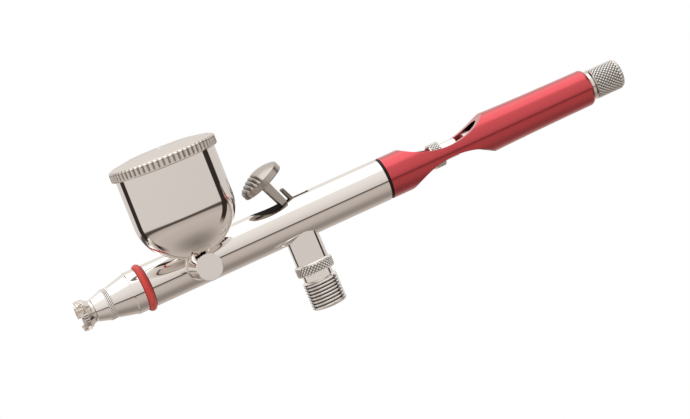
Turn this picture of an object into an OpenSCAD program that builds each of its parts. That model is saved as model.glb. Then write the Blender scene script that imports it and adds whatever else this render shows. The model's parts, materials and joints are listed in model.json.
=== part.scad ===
// Double-action airbrush gun with a side-mounted gravity cup.
// X runs from the nozzle (-X) to the tail (+X), Z is up and the feed stub points to -Y.
// The origin is the centre of the air inlet's lower end face; lengths are in millimetres.
// Stations written *_x are measured along the barrel from the valve's axis, and heights
// inside on_axis() and side_cut() are measured from the barrel's axis.

/* [Barrel] */
// Height of the barrel's axis above the air inlet's end face
axis_z = 24.8; // [24.5:0.1:26]
// Outer radius of the barrel
barrel_r = 5.8; // [5.7:0.05:6]
// Front shoulder of the barrel
barrel_front_x = -43.4; // [-44:0.1:-43]
// Rear end of the barrel
barrel_rear_x = 26.5; // [26:0.1:27]
// Front end of the spigot that carries the nozzle and the head
spigot_front_x = -47.5; // [-48:0.1:-47]
// Radius of that spigot
spigot_r = 4.4; // [4.3:0.05:4.5]
// Radius of the bore in which the trigger and the needle chuck work
work_bore_r = 3.4; // [3.3:0.05:3.5]

/* [Head] */
// Rear face of the head
head_rear_x = -45.6; // [-46:0.1:-45.4]
// Seam between the head and the air cap
cap_rear_x = -54.1; // [-54.4:0.1:-53.8]
// Front face of the air cap
cap_front_x = -59.0; // [-59.2:0.1:-58.8]
// Front edge of the crown cap
crown_front_x = -63.3; // [-64:0.1:-63]
// Outer radius at the mouth of the crown cap
crown_r = 4.18; // [4:0.02:4.4]
// Width of each notch in the crown
crown_notch_w = 2.4; // [2:0.1:2.8]
// Tube radius of the colour ring
ring_tube_r = 1.07; // [0.9:0.01:1.08]

/* [Needle] */
// Radius of the needle
needle_r = 0.6; // [0.5:0.05:0.65]
// Tip of the needle with the gun at rest
needle_tip_x = -61.0; // [-61.5:0.1:-60.6]
// How far a full pull draws the needle
needle_travel = 2.2; // [1.8:0.1:2.3]

/* [Air valve] */
// Major radius of the inlet thread
inlet_thread_r = 4.864; // [4.8:0.001:5]
// Pitch of the inlet thread
inlet_pitch = 0.907; // [0.8:0.001:1]
// Number of thread turns
inlet_turns = 8; // [6:1:8]
// Outer radius of the valve boss under the barrel
boss_r = 4.57; // [4.5:0.01:4.7]
// Outer radius of the knurled collar
collar_r = 5.27; // [5.1:0.01:5.4]

/* [Trigger] */
// Lean of the trigger at rest, in degrees
trigger_lean = 22.4; // [20:0.1:24]
// Radius of the finger button
button_r = 6.3; // [6:0.1:6.5]
// Thickness of the button's rim
button_rim_h = 2.1; // [1.8:0.1:2.3]
// Rise of the button's dome above its rim
button_dome_h = 1.9; // [1.6:0.1:2.1]
// Width of the trigger's stem across the gun
stem_w = 2.8; // [2.6:0.1:2.9]

/* [Cup] */
// Station of the cup's axis
cup_x = -29.6; // [-30.5:0.1:-29]
// Distance of the cup's axis in front of the barrel's axis
cup_y = 13; // [13:0.1:13.5]
// Outer radius of the cup
cup_r = 13.6; // [13.4:0.1:13.8]
// Lean of the cup towards the tail, in degrees
cup_lean = 1.5; // [0:0.1:3]
// Wall thickness of the cup
cup_wall = 0.9; // [0.8:0.05:1.1]
// Height above the barrel's axis where the cup's straight wall starts
cup_wall_z = 15.8; // [15:0.1:16]
// Height of the cup's rim above the barrel's axis
cup_rim_z = 30.9; // [30.5:0.1:31]
// Outer radius of the knurled lid
lid_r = 14.6; // [14.5:0.1:15]
// Radius of the feed stub
stub_r = 3.6; // [3.5:0.05:3.7]

/* [Handle and preset] */
// Front face of the handle
handle_front_x = 27.3; // [27.3:0.1:27.7]
// Rear face of the handle
handle_rear_x = 90.5; // [90:0.1:91]
// Radius of the handle's bore
handle_bore_r = 4.3; // [4.2:0.05:4.35]
// Middle of the waist that is cut through the handle
waist_x = 46.2; // [46:0.1:47]
// Radius of the two cuts that form the waist
waist_cut_r = 22.2; // [21.5:0.1:22.5]
// Half height of the side rails at the middle of the waist
rail_half_h = 1.55; // [1.4:0.05:1.8]
// Outer radius of the chuck nut
chuck_nut_r = 3.5; // [3.3:0.05:3.6]
// Outer radius of the preset knob
knob_r = 4.24; // [4.1:0.02:4.4]
// Rear end of the preset knob
knob_rear_x = 100.9; // [100.5:0.1:102]

/* [Hidden] */
$fn = 96;

nickel = "gainsboro";
steel = "silver";
seal_white = "whitesmoke";

// Radial clearance of parts that turn or slide in each other
running_fit = 0.05;
// Extra length that lets a cut pass through a face
through = 0.1;

// Trigger: centre of its round foot, and the line of its stem
foot_z = -2.3;
foot_r = 1.2;
stem_t = 2.25;
stem_pass_x = -1.37;
stem_pass_z = 5.68;
knee_z = 1.8;
button_z = 12.16;
lean_run = tan(trigger_lean);
function stem_x(z) = stem_pass_x + (stem_pass_z - z) * lean_run;

// Back lever: its pivot in the chuck tube's fork, and its top
lever_pivot_x = 4.45;
lever_pivot_z = -1.9;
lever_top_x = -0.2;
lever_top_z = 8.9;
lever_t = 0.8;
lever_w = 2.4;
lever_eye_r = 1.0;
lever_pin_r = 0.5;

// Slot in the barrel's top: a boat-shaped mouth and a narrow tail for the lever
mouth_front_x = -11.1;
mouth_rear_x = 1.4;
mouth_near_w = 4.0;
mouth_far_w = 2.2;
slot_tail_x = 6.2;
slot_half_w = 1.65;
slot_front_x = -2.2;

// Bores and stations inside the barrel
work_front_x = -11;
housing_front_x = 14;
housing_thread_r = 4.65;
packing_bore_r = 2.3;
packing_front_x = -18.5;
fluid_bore_r = 1.6;
nozzle_bore_r = 2.4;
nozzle_seat_x = -41.5;
feed_bore_r = 2.25;
air_duct_r = 0.5;
air_duct_front_z = -3.4;
air_duct_rear_z = -4.86;
air_duct_rear_x = -3.3;

// Air valve, heights from the barrel's axis
boss_end_z = -11.95;
boss_bore_r = 3.6;
boss_step_z = -3.9;
casing_seal_t = 0.3;
head_pass_r = 2.4;
casing_bore_r = 2.9;
seat_z = -11.6;
guide_top_z = -5.7;
guide_seat_z = -7.6;
guide_bore_r = 2.2;
plunger_r = 0.8;
plunger_head_r = 2.1;
plunger_head_z = -4.25;
disc_r = 2.2;
disc_top_z = -12.42;
disc_under_z = -13.4;
retainer_top = 4;
retainer_foot = 1.2;
collar_foot = 9.7;
neck_r = 4.13;
thread_len = 7.7;
thread_depth = 0.58;
crest_w = 0.24;
root_w = 0.15;

// Needle chuck
tube_r = 2.3;
tube_bore_r = 0.65;
tube_front_x = 7;
fork_front_x = 3.5;
tube_collar_x = 11;
tube_collar_r = 3.1;
tube_collar_w = 1.4;
tube_neck_x = 38;
tube_neck_r = 1.7;
tube_rear_x = 47;
nut_front_x = 41.3;
nut_step_x = 44.6;
nut_rear_x = 49.2;
nut_tail_r = 2.47;
needle_end_x = 48.9;

// Spring housing and handle
housing_step_x = barrel_rear_x;
housing_wall_x = 31;
housing_rear_x = 32.5;
housing_bore_r = 3.5;
waist_cut_z = waist_cut_r + rail_half_h;

// Preset
bush_front_x = 78;
bush_rear_x = 91.6;
bush_bore_r = 2.6;
knob_front_x = 91.9;
rod_front_x = 51.8;
rod_step_x = 61.7;
rod_r = 2.4;
rod_pin_r = 1.25;
rod_rear_x = 72;
screw_front_x = 62;

// Feed
socket_r = 3.95;
socket_face_y = 6.6;
stub_end_y = 18.0;
plug_t = 0.8;
duct_r = 1.1;
neck_pipe_r = 2.6;
neck_top_z = 5.6;
bowl_bottom_z = 3.3;
lid_foot_z = 28.9;
lid_band_z = 31.4;
lid_top_z = 33;
lid_ceiling_z = 31.3;

// Puts a shape's Z axis along +X on the barrel's axis
module on_axis(x = 0) {
    translate([x, 0, axis_z]) rotate([0, 90, 0]) children();
}

// Turned part on the barrel's axis: outline points are [radius, station]
module turned(outline) {
    on_axis() rotate_extrude() polygon(outline);
}

// Turned part on the valve's axis: outline points are [radius, height from the barrel's axis]
module valve_turned(outline) {
    translate([0, 0, axis_z]) rotate_extrude() polygon(outline);
}

module rod_x(x0, x1, r) {
    on_axis(x0) cylinder(h = x1 - x0, r = r);
}

module tube_x(x0, x1, r_out, r_in) {
    difference() {
        rod_x(x0, x1, r_out);
        rod_x(x0 - through, x1 + through, r_in);
    }
}

module rod_z(z0, z1, r, x = 0, y = 0) {
    translate([x, y, axis_z + z0]) cylinder(h = z1 - z0, r = r);
}

// Bar along Y, from y0 up to y1
module rod_y(x, z, r, y0, y1) {
    translate([x, y1, axis_z + z]) rotate([90, 0, 0]) cylinder(h = y1 - y0, r = r);
}

// Extrudes an outline of [station, height] points across the gun
module plate(width) {
    translate([0, width / 2, axis_z]) rotate([90, 0, 0]) linear_extrude(width) children();
}

// Point number i of a coil of round wire, on ring j of its path
function coil_point(i, j, r, wire, rise, steps, sides) =
    let (turn = 360 * j / steps, around = 360 * i / sides)
    [
        (r + wire * cos(around)) * cos(turn),
        (r + wire * cos(around)) * sin(turn),
        rise * j / steps + wire * sin(around)
    ];

module coil_spring(r, wire, len, turns) {
    steps = 16;
    sides = 6;
    rings = turns * steps;
    rise = (len - 2 * wire) / turns;
    points = [
        for (j = [0:rings], i = [0:sides - 1]) coil_point(i, j, r, wire, rise, steps, sides)
    ];
    walls = [
        for (j = [0:rings - 1], i = [0:sides - 1])
        [
            j * sides + i,
            (j + 1) * sides + i,
            (j + 1) * sides + (i + 1) % sides,
            j * sides + (i + 1) % sides
        ]
    ];
    first_cap = [for (i = [0:sides - 1]) i];
    last_cap = [for (i = [sides - 1:-1:0]) rings * sides + i];
    translate([0, 0, wire]) polyhedron(points, concat(walls, [first_cap, last_cap]));
}

// ---------------------------------------------------------------- body

// Radius of the arc that spans twice half_len and rises by rise
function arc_radius(half_len, rise) = (half_len * half_len + rise * rise) / (2 * rise);

// Boat-shaped mouth, cut wider on the cup's side
module trigger_mouth() {
    half_len = (mouth_rear_x - mouth_front_x) / 2;
    mid_x = (mouth_rear_x + mouth_front_x) / 2;
    near_r = arc_radius(half_len, mouth_near_w);
    far_r = arc_radius(half_len, mouth_far_w);
    intersection() {
        rod_z(0, barrel_r + 1, near_r, mid_x, near_r - mouth_near_w);
        rod_z(0, barrel_r + 1, far_r, mid_x, mouth_far_w - far_r);
    }
}

module air_duct() {
    run = air_duct_rear_x - spigot_front_x + through;
    drop = air_duct_rear_z - air_duct_front_z;
    translate([spigot_front_x - through, 0, axis_z + air_duct_front_z])
        rotate([0, 90 - atan(drop / run), 0])
            cylinder(h = norm([run, drop]), r = air_duct_r);
}

module barrel() {
    color(nickel) difference() {
        union() {
            rod_x(barrel_front_x, barrel_rear_x, barrel_r);
            rod_x(spigot_front_x, barrel_front_x, spigot_r);
            rod_z(boss_end_z, 0, boss_r);
        }
        rod_x(housing_front_x, barrel_rear_x + through, housing_thread_r);
        rod_x(work_front_x, housing_front_x + through, work_bore_r);
        rod_x(packing_front_x, work_front_x + through, packing_bore_r);
        rod_x(nozzle_seat_x - through, packing_front_x + through, fluid_bore_r);
        rod_x(spigot_front_x - through, nozzle_seat_x, nozzle_bore_r);
        rod_z(boss_end_z - through, boss_step_z, boss_bore_r);
        rod_z(boss_step_z - through, 0, head_pass_r);
        rod_y(cup_x, 0, feed_bore_r, -barrel_r - 1, 0);
        trigger_mouth();
        translate([slot_front_x, -slot_half_w, axis_z])
            cube([slot_tail_x - slot_front_x, 2 * slot_half_w, barrel_r + 1]);
        air_duct();
    }
}

module feed_socket() {
    color(nickel) difference() {
        rod_y(cup_x, 0, socket_r, -socket_face_y, -1);
        rod_x(cup_x - socket_r - 1, cup_x + socket_r + 1, barrel_r);
        rod_y(cup_x, 0, feed_bore_r, -socket_face_y - 1, 0);
    }
}

module head_ring() {
    chamber_r = 3.6;
    thread_r = 3.2;
    color(nickel) turned([
        [thread_r, cap_rear_x], [4.25, cap_rear_x], [5.65, -48.4], [5.83, -48.2],
        [5.83, head_rear_x], [spigot_r + running_fit, head_rear_x],
        [spigot_r + running_fit, -48.5], [chamber_r, -48.5],
        [chamber_r, -52], [thread_r, -52]
    ]);
}

module air_cap() {
    boss_front_x = -61;
    chamber_r = 2.4;
    jet_r = 0.85;
    color(nickel) turned([
        [jet_r, boss_front_x], [2.3, boss_front_x], [2.3, cap_front_x], [3.13, cap_front_x],
        [4.2, -55.7], [4.35, -55.7], [4.35, cap_rear_x], [3.15, cap_rear_x],
        [3.15, -52.2], [chamber_r, -52.2], [chamber_r, -56.5], [jet_r, -58.4]
    ]);
}

module crown_cap() {
    notch_depth = 2.2;
    notch_turn = -30;
    rear_x = cap_front_x - 0.3;
    color(nickel) difference() {
        turned([
            [2.35, rear_x], [3.05, rear_x], [3.05, -59.9], [crown_r, -61.3],
            [crown_r, crown_front_x], [3.35, crown_front_x], [3.2, -60.9], [2.35, -60.9]
        ]);
        for (turn = [0:90:270]) {
            on_axis(crown_front_x - through) rotate(90 + notch_turn + turn)
                translate([0, -crown_notch_w / 2, 0])
                    cube([crown_r + 1, crown_notch_w, notch_depth - crown_notch_w / 2 + through]);
            on_axis(crown_front_x + notch_depth - crown_notch_w / 2)
                rotate(90 + notch_turn + turn) rotate([0, 90, 0])
                    cylinder(h = crown_r + 1, r = crown_notch_w / 2, $fn = 32);
        }
    }
}

module colour_ring() {
    ring_x = (head_rear_x + barrel_front_x) / 2;
    color("tomato") on_axis(ring_x) rotate_extrude()
        translate([spigot_r + 0.06 + ring_tube_r, 0]) circle(ring_tube_r);
}

module fluid_nozzle() {
    thread_r = 2.35;
    color(nickel) turned([
        [0.3, -59.6], [0.55, -59.6], [0.62, -58.6], [1.9, -55.9], [1.9, -48.5],
        [2.9, -48.5], [2.9, spigot_front_x], [thread_r, spigot_front_x],
        [thread_r, -42], [1.2, -42], [1.2, -56]
    ]);
}

module nozzle_seal() {
    color(seal_white) tube_x(-42, nozzle_seat_x, packing_bore_r, fluid_bore_r);
}

module needle_packing() {
    color(seal_white)
        tube_x(packing_front_x, packing_front_x + 2.5, packing_bore_r - 0.03, needle_r + 0.02);
}

module packing_screw() {
    front_x = packing_front_x + 2.55;
    rear_x = -11.6;
    slot_w = 0.7;
    color("darkgray") difference() {
        tube_x(front_x, rear_x, packing_bore_r - running_fit, needle_r + 0.1);
        translate([rear_x - 0.9, -slot_w / 2, axis_z - 3]) cube([2, slot_w, 6]);
    }
}

// ---------------------------------------------------------------- air valve

module inlet_thread() {
    rotate_extrude() polygon([
        [casing_bore_r, 0],
        for (k = [0:inlet_turns - 1]) each [
            [inlet_thread_r, k * inlet_pitch],
            [inlet_thread_r, k * inlet_pitch + crest_w],
            [inlet_thread_r - thread_depth, k * inlet_pitch + (inlet_pitch + crest_w - root_w) / 2],
            [inlet_thread_r - thread_depth, k * inlet_pitch + (inlet_pitch + crest_w + root_w) / 2]
        ],
        [inlet_thread_r, inlet_turns * inlet_pitch],
        [inlet_thread_r, thread_len],
        [casing_bore_r, thread_len]
    ]);
}

module valve_casing() {
    spigot_out_r = boss_bore_r - running_fit;
    groove_r = 3.0;
    groove_foot_z = -9;
    groove_top_z = -4.3;
    port_z = -9.1;
    port_r = 0.6;
    port_chamber_r = 1.9;
    mouth_bore_r = 2.35;
    seat_bore_r = 1.4;
    seat_top_z = -10.2;
    color(nickel) difference() {
        union() {
            inlet_thread();
            valve_turned([
                [casing_bore_r, thread_len - axis_z], [neck_r, thread_len - axis_z],
                [neck_r, collar_foot - axis_z], [collar_r, collar_foot - axis_z],
                [collar_r, boss_end_z - casing_seal_t], [spigot_out_r, boss_end_z - casing_seal_t],
                [spigot_out_r, groove_foot_z], [groove_r, groove_foot_z],
                [groove_r, groove_top_z], [spigot_out_r, groove_top_z],
                [spigot_out_r, boss_step_z], [mouth_bore_r, boss_step_z],
                [mouth_bore_r, guide_top_z], [guide_bore_r, guide_top_z],
                [guide_bore_r, guide_seat_z - 0.7], [port_chamber_r, guide_seat_z - 0.7],
                [port_chamber_r, seat_top_z], [seat_bore_r, seat_top_z],
                [seat_bore_r, seat_z], [casing_bore_r, seat_z]
            ]);
        }
        rod_y(0, port_z, port_r, -groove_r - 1, groove_r + 1);
    }
}

module casing_seal() {
    color(seal_white) difference() {
        rod_z(boss_end_z - casing_seal_t, boss_end_z, boss_r);
        rod_z(boss_end_z - 1, boss_end_z + 1, boss_bore_r);
    }
}

module guide_bush() {
    color("goldenrod") valve_turned([
        [plunger_r + running_fit, guide_seat_z + 0.1], [guide_bore_r - 0.03, guide_seat_z + 0.1],
        [guide_bore_r - 0.03, guide_top_z], [plunger_r + running_fit, guide_top_z]
    ]);
}

module plunger_packing() {
    tube = 0.32;
    color("dimgray") translate([0, 0, axis_z + guide_seat_z - 0.3])
        rotate_extrude() translate([plunger_r + 0.03 + tube, 0]) circle(tube, $fn = 32);
}

module valve_plunger() {
    color(steel) difference() {
        valve_turned([
            [0, disc_under_z - 1], [1.2, disc_under_z - 1], [1.2, disc_under_z],
            [disc_r, disc_under_z], [disc_r, disc_top_z], [plunger_r, disc_top_z],
            [plunger_r, plunger_head_z], [plunger_head_r, plunger_head_z],
            [plunger_head_r, foot_z], [0, foot_z]
        ]);
        rod_y(0, foot_z, foot_r + running_fit, -plunger_head_r - 1, plunger_head_r + 1);
    }
}

module valve_disc_seal() {
    color("dimgray") difference() {
        rod_z(disc_top_z, seat_z - 0.02, disc_r - 0.1);
        rod_z(disc_top_z - 1, seat_z + 1, plunger_r);
    }
}

module valve_spring() {
    color(steel) translate([0, 0, retainer_top])
        coil_spring(r = 1.85, wire = 0.25, len = axis_z + disc_under_z - retainer_top, turns = 7);
}

module spring_retainer() {
    slot_w = 0.9;
    color(steel) difference() {
        translate([0, 0, retainer_foot])
            cylinder(h = retainer_top - retainer_foot, r = casing_bore_r - running_fit);
        cylinder(h = retainer_top + 1, r = 1.2);
        translate([-casing_bore_r - 1, -slot_w / 2, 0])
            cube([2 * casing_bore_r + 2, slot_w, retainer_foot + 1]);
    }
}

// ---------------------------------------------------------------- trigger

module trigger_stem() {
    half_run = stem_t / (2 * cos(trigger_lean));
    needle_gap_w = 1.5;
    color(steel) difference() {
        union() {
            rod_y(0, foot_z, foot_r, -stem_w / 2, stem_w / 2);
            plate(stem_w) polygon([
                [-1.1, foot_z], [1.1, foot_z], [stem_x(knee_z) + 1.15, knee_z - 0.2],
                [stem_x(button_z) + half_run, button_z + half_run * lean_run * 0.8],
                [stem_x(button_z) - half_run, button_z - half_run * lean_run],
                [stem_x(knee_z) - 1.15, knee_z + 0.2]
            ]);
        }
        button_place() cylinder(h = 3, r = button_r);
        plate(needle_gap_w) polygon([[-4, -1.2], [4, -1.2], [4, 2.9], [-4, 2.9]]);
    }
}

module button_place() {
    translate([stem_x(button_z), 0, axis_z + button_z]) rotate([0, -trigger_lean, 0]) children();
}

module trigger_button() {
    dome_r = (button_r * button_r + button_dome_h * button_dome_h) / (2 * button_dome_h);
    color(steel) button_place() intersection() {
        cylinder(h = button_rim_h + button_dome_h, r = button_r);
        translate([0, 0, button_rim_h + button_dome_h - dome_r]) sphere(dome_r);
    }
}

module back_lever() {
    lean = atan((lever_pivot_x - lever_top_x) / (lever_top_z - lever_pivot_z));
    reach = norm([lever_pivot_x - lever_top_x, lever_top_z - lever_pivot_z]);
    color(steel) difference() {
        translate([lever_pivot_x, 0, axis_z + lever_pivot_z]) rotate([0, -lean, 0]) union() {
            rotate([90, 0, 0]) cylinder(h = lever_w, r = lever_eye_r, center = true);
            translate([-lever_t / 2, -lever_w / 2, 0]) cube([lever_t, lever_w, reach - lever_w / 2]);
            translate([-lever_t / 2, 0, reach - lever_w / 2]) rotate([0, 90, 0])
                cylinder(h = lever_t, r = lever_w / 2);
        }
        rod_y(lever_pivot_x, lever_pivot_z, lever_pin_r + running_fit, -lever_w, lever_w);
        plate(1.5) polygon([[1, -0.75], [7, -0.75], [7, 2.4], [1, 2.4]]);
    }
}

module lever_pin() {
    color(steel) rod_y(lever_pivot_x, lever_pivot_z, lever_pin_r, -2.2, 2.2);
}

// ---------------------------------------------------------------- needle and chuck

module needle() {
    taper_x = -57;
    color(steel) turned([
        [0, needle_tip_x], [0.05, needle_tip_x], [needle_r, taper_x],
        [needle_r, needle_end_x], [0, needle_end_x]
    ]);
}

module chuck_tube() {
    fork_gap = 2.7;
    collet_slot_w = 0.5;
    color(steel) difference() {
        union() {
            rod_x(tube_front_x, tube_neck_x, tube_r);
            rod_x(tube_neck_x, tube_rear_x, tube_neck_r);
            rod_x(tube_collar_x, tube_collar_x + tube_collar_w, tube_collar_r);
            intersection() {
                rod_x(fork_front_x, tube_front_x + 1, tube_collar_r);
                translate([fork_front_x, -2.3, axis_z - 2.8])
                    cube([tube_front_x - fork_front_x + 1, 4.6, 3.6]);
            }
        }
        rod_x(fork_front_x - 1, tube_rear_x + 1, tube_bore_r);
        translate([fork_front_x - 1, -fork_gap / 2, axis_z - 4])
            cube([tube_front_x - fork_front_x + 1, fork_gap, 8]);
        rod_y(lever_pivot_x, lever_pivot_z, lever_pin_r + 0.01, -3, 3);
        translate([tube_neck_x + 2, -collet_slot_w / 2, axis_z - 3])
            cube([tube_rear_x - tube_neck_x, collet_slot_w, 6]);
    }
}

module chuck_nut() {
    bore_r = tube_neck_r + running_fit;
    color(steel) turned([
        [bore_r, nut_front_x], [chuck_nut_r, nut_front_x], [chuck_nut_r, nut_step_x],
        [nut_tail_r, nut_step_x], [nut_tail_r, nut_rear_x], [0.75, nut_rear_x],
        [0.75, tube_rear_x + 1.2], [bore_r, tube_rear_x + 0.3]
    ]);
}

module needle_spring() {
    front_x = tube_collar_x + tube_collar_w;
    color(steel) on_axis(front_x)
        coil_spring(r = 2.88, wire = 0.28, len = housing_wall_x - front_x, turns = 11);
}

module spring_housing() {
    rod_hole_r = tube_r + running_fit;
    color(nickel) turned([
        [housing_bore_r, housing_front_x + 0.2], [housing_thread_r - running_fit, housing_front_x + 0.2],
        [housing_thread_r - running_fit, housing_step_x], [handle_bore_r - running_fit, housing_step_x],
        [handle_bore_r - running_fit, housing_rear_x], [rod_hole_r, housing_rear_x],
        [rod_hole_r, housing_wall_x], [housing_bore_r, housing_wall_x]
    ]);
}

// ---------------------------------------------------------------- handle and preset

module handle_seal() {
    color("black") tube_x(barrel_rear_x + 0.1, handle_front_x, 5.55, handle_bore_r);
}

module waist_cut(side) {
    translate([waist_x, 10, axis_z + side * waist_cut_z]) rotate([90, 0, 0])
        cylinder(h = 20, r = waist_cut_r);
}

module handle() {
    tail_edge = 0.9;
    color("firebrick") difference() {
        turned([
            [handle_bore_r, handle_front_x], [5.8, handle_front_x], [5.8, 55],
            [5.61, 60], [5.49, 64.3], [5.33, 71.5], [5.2, 80], [5.09, handle_rear_x - tail_edge],
            [5.09 - tail_edge * 0.3, handle_rear_x - tail_edge * 0.3],
            [4.5, handle_rear_x], [handle_bore_r, handle_rear_x]
        ]);
        waist_cut(1);
        waist_cut(-1);
    }
}

module tail_bush() {
    flange_r = 3.9;
    body_r = handle_bore_r - running_fit;
    color(nickel) turned([
        [bush_bore_r, bush_front_x], [body_r, bush_front_x], [body_r, handle_rear_x],
        [flange_r, handle_rear_x], [flange_r, bush_rear_x], [bush_bore_r, bush_rear_x]
    ]);
}

module stop_rod() {
    color(steel) union() {
        rod_x(rod_front_x, rod_step_x, rod_r);
        rod_x(rod_step_x, rod_rear_x, rod_pin_r);
    }
}

module preset_screw() {
    socket_end_x = rod_rear_x + 0.5;
    spigot_r_out = 1.95;
    color(steel) difference() {
        union() {
            rod_x(screw_front_x, knob_front_x, bush_bore_r - running_fit);
            rod_x(knob_front_x, knob_rear_x - 3, spigot_r_out);
        }
        rod_x(screw_front_x - 1, socket_end_x, rod_pin_r + running_fit);
    }
}

module preset_knob() {
    edge = 0.5;
    color("darkgray") turned([
        [1.97, knob_front_x], [knob_r - edge, knob_front_x], [knob_r, knob_front_x + edge],
        [knob_r, knob_rear_x - 0.9], [knob_r - 0.7, knob_rear_x - 0.35], [0, knob_rear_x],
        [0, knob_rear_x - 2.9], [1.97, knob_rear_x - 2.9]
    ]);
}

// ---------------------------------------------------------------- feed and cup

module feed_elbow() {
    plug_r = feed_bore_r - running_fit;
    color(nickel) difference() {
        union() {
            rod_y(cup_x, 0, plug_r, -socket_face_y - 0.4, -2.4);
            rod_y(cup_x, 0, stub_r, -stub_end_y + plug_t, -socket_face_y - 0.35);
            cup_place() cylinder(h = neck_top_z, r = neck_pipe_r);
        }
        rod_y(cup_x, 0, duct_r, -stub_end_y, -1);
        cup_place() cylinder(h = neck_top_z + 1, r = duct_r);
        rod_x(cup_x - 5, cup_x + 5, fluid_bore_r + 0.3);
    }
}

module feed_seal() {
    color(seal_white) difference() {
        rod_y(cup_x, 0, 3.3, -socket_face_y - 0.35, -socket_face_y - 0.05);
        rod_y(cup_x, 0, feed_bore_r, -socket_face_y - 1, -socket_face_y + 1);
    }
}

module elbow_plug() {
    color(nickel) rod_y(cup_x, 0, stub_r, -stub_end_y, -stub_end_y + plug_t);
}

// Puts a shape that stands at the origin on the cup's leaning axis
module cup_place() {
    translate([cup_x, -cup_y, axis_z]) rotate([0, cup_lean, 0]) children();
}

// Lower quarter of an ellipse as [radius, height] points, from its side to the inner radius
function bowl_arc(r, depth, r_end) = [
    for (turn = [0:7.5:75]) if (r * cos(turn) > r_end) [r * cos(turn), cup_wall_z - depth * sin(turn)],
    [r_end, cup_wall_z - depth * sqrt(1 - (r_end / r) * (r_end / r))]
];

module cup_bowl() {
    depth = cup_wall_z - bowl_bottom_z;
    inner_r = cup_r - cup_wall;
    outside = bowl_arc(cup_r, depth, neck_pipe_r + 0.02);
    inside = bowl_arc(inner_r, depth - 1.2, neck_pipe_r + 0.02);
    steps = len(inside);
    color(nickel) difference() {
        cup_place() rotate_extrude() polygon(concat(
            [[inner_r, cup_rim_z], [cup_r, cup_rim_z]],
            outside,
            [for (k = [steps - 1:-1:0]) inside[k]]
        ));
        rod_y(cup_x, 0, stub_r, -stub_end_y - 1, 1);
    }
}

module lid() {
    skirt_r = cup_r + running_fit;
    vent_r = 0.6;
    color(nickel) cup_place() rotate_extrude() polygon([
        [vent_r, lid_ceiling_z], [skirt_r, lid_ceiling_z], [skirt_r, lid_foot_z],
        [lid_r, lid_foot_z], [lid_r, lid_band_z], [lid_r - 0.9, lid_band_z + 0.6],
        [10, lid_top_z - 0.35], [vent_r, lid_top_z]
    ]);
}

module lid_seal() {
    color("dimgray") cup_place() translate([0, 0, cup_rim_z + 0.05]) difference() {
        cylinder(h = lid_ceiling_z - cup_rim_z - 0.05, r = cup_r);
        translate([0, 0, -1]) cylinder(h = 3, r = cup_r - cup_wall);
    }
}

barrel();
feed_socket();
head_ring();
air_cap();
crown_cap();
colour_ring();
fluid_nozzle();
nozzle_seal();
needle_packing();
packing_screw();
valve_casing();
casing_seal();
guide_bush();
plunger_packing();
valve_spring();
spring_retainer();
valve_plunger();
valve_disc_seal();
trigger_stem();
trigger_button();
back_lever();
lever_pin();
needle();
chuck_tube();
chuck_nut();
needle_spring();
spring_housing();
handle_seal();
handle();
tail_bush();
stop_rod();
preset_screw();
preset_knob();
feed_elbow();
feed_seal();
elbow_plug();
cup_bowl();
lid();
lid_seal();
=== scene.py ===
import json
import math

import bpy
import numpy as np
from mathutils import Matrix, Vector


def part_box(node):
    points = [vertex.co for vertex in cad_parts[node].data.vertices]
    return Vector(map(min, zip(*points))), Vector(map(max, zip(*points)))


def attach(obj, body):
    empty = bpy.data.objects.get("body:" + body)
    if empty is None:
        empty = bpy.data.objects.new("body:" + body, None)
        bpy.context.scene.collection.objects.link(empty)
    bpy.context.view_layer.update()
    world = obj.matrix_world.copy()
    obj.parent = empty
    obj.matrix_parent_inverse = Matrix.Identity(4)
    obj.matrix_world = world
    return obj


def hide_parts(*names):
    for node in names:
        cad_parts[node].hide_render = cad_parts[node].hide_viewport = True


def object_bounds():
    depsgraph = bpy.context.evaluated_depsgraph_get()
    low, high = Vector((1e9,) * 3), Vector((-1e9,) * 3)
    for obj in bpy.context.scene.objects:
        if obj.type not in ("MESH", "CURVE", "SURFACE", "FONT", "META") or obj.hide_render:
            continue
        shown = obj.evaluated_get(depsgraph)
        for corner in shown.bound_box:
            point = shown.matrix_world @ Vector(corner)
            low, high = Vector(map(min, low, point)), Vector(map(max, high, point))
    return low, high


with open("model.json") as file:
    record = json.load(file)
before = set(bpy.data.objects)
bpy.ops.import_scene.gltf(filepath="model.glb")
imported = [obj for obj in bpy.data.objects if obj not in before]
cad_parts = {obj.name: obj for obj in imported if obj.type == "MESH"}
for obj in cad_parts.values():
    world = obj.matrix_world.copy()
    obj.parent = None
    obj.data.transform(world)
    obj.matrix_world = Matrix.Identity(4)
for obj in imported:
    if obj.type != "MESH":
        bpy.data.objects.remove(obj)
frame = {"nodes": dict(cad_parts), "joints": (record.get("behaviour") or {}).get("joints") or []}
CAD_LO, CAD_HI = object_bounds()

MM = 0.001


# ---------------------------------------------------------------- stations from the frame, in millimetres


def extent(node):
    lo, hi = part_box(node)
    return np.array(lo) / MM, np.array(hi) / MM


def middle(node, axis):
    lo, hi = extent(node)
    return (lo[axis] + hi[axis]) / 2


JOINTS = {joint["name"]: joint for joint in frame["joints"]}
AXIS_Z = middle("needle", 2)
CUP_X = middle("feed_elbow", 0)
CUP_Y = middle("cup_bowl", 1)
CUP_LEAN = math.atan2(JOINTS["lid_lift"]["axis"][0], JOINTS["lid_lift"]["axis"][2])
BARREL_LO, BARREL_HI = extent("barrel")
HANDLE_LO, HANDLE_HI = extent("handle")
KNOB_LO, KNOB_HI = extent("preset_knob")
HEAD_LO, HEAD_HI = extent("head_ring")
CAP_LO = extent("air_cap")[0]
CROWN_LO, CROWN_HI = extent("crown_cap")
BUTTON_LO, BUTTON_HI = extent("trigger_button")

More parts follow.
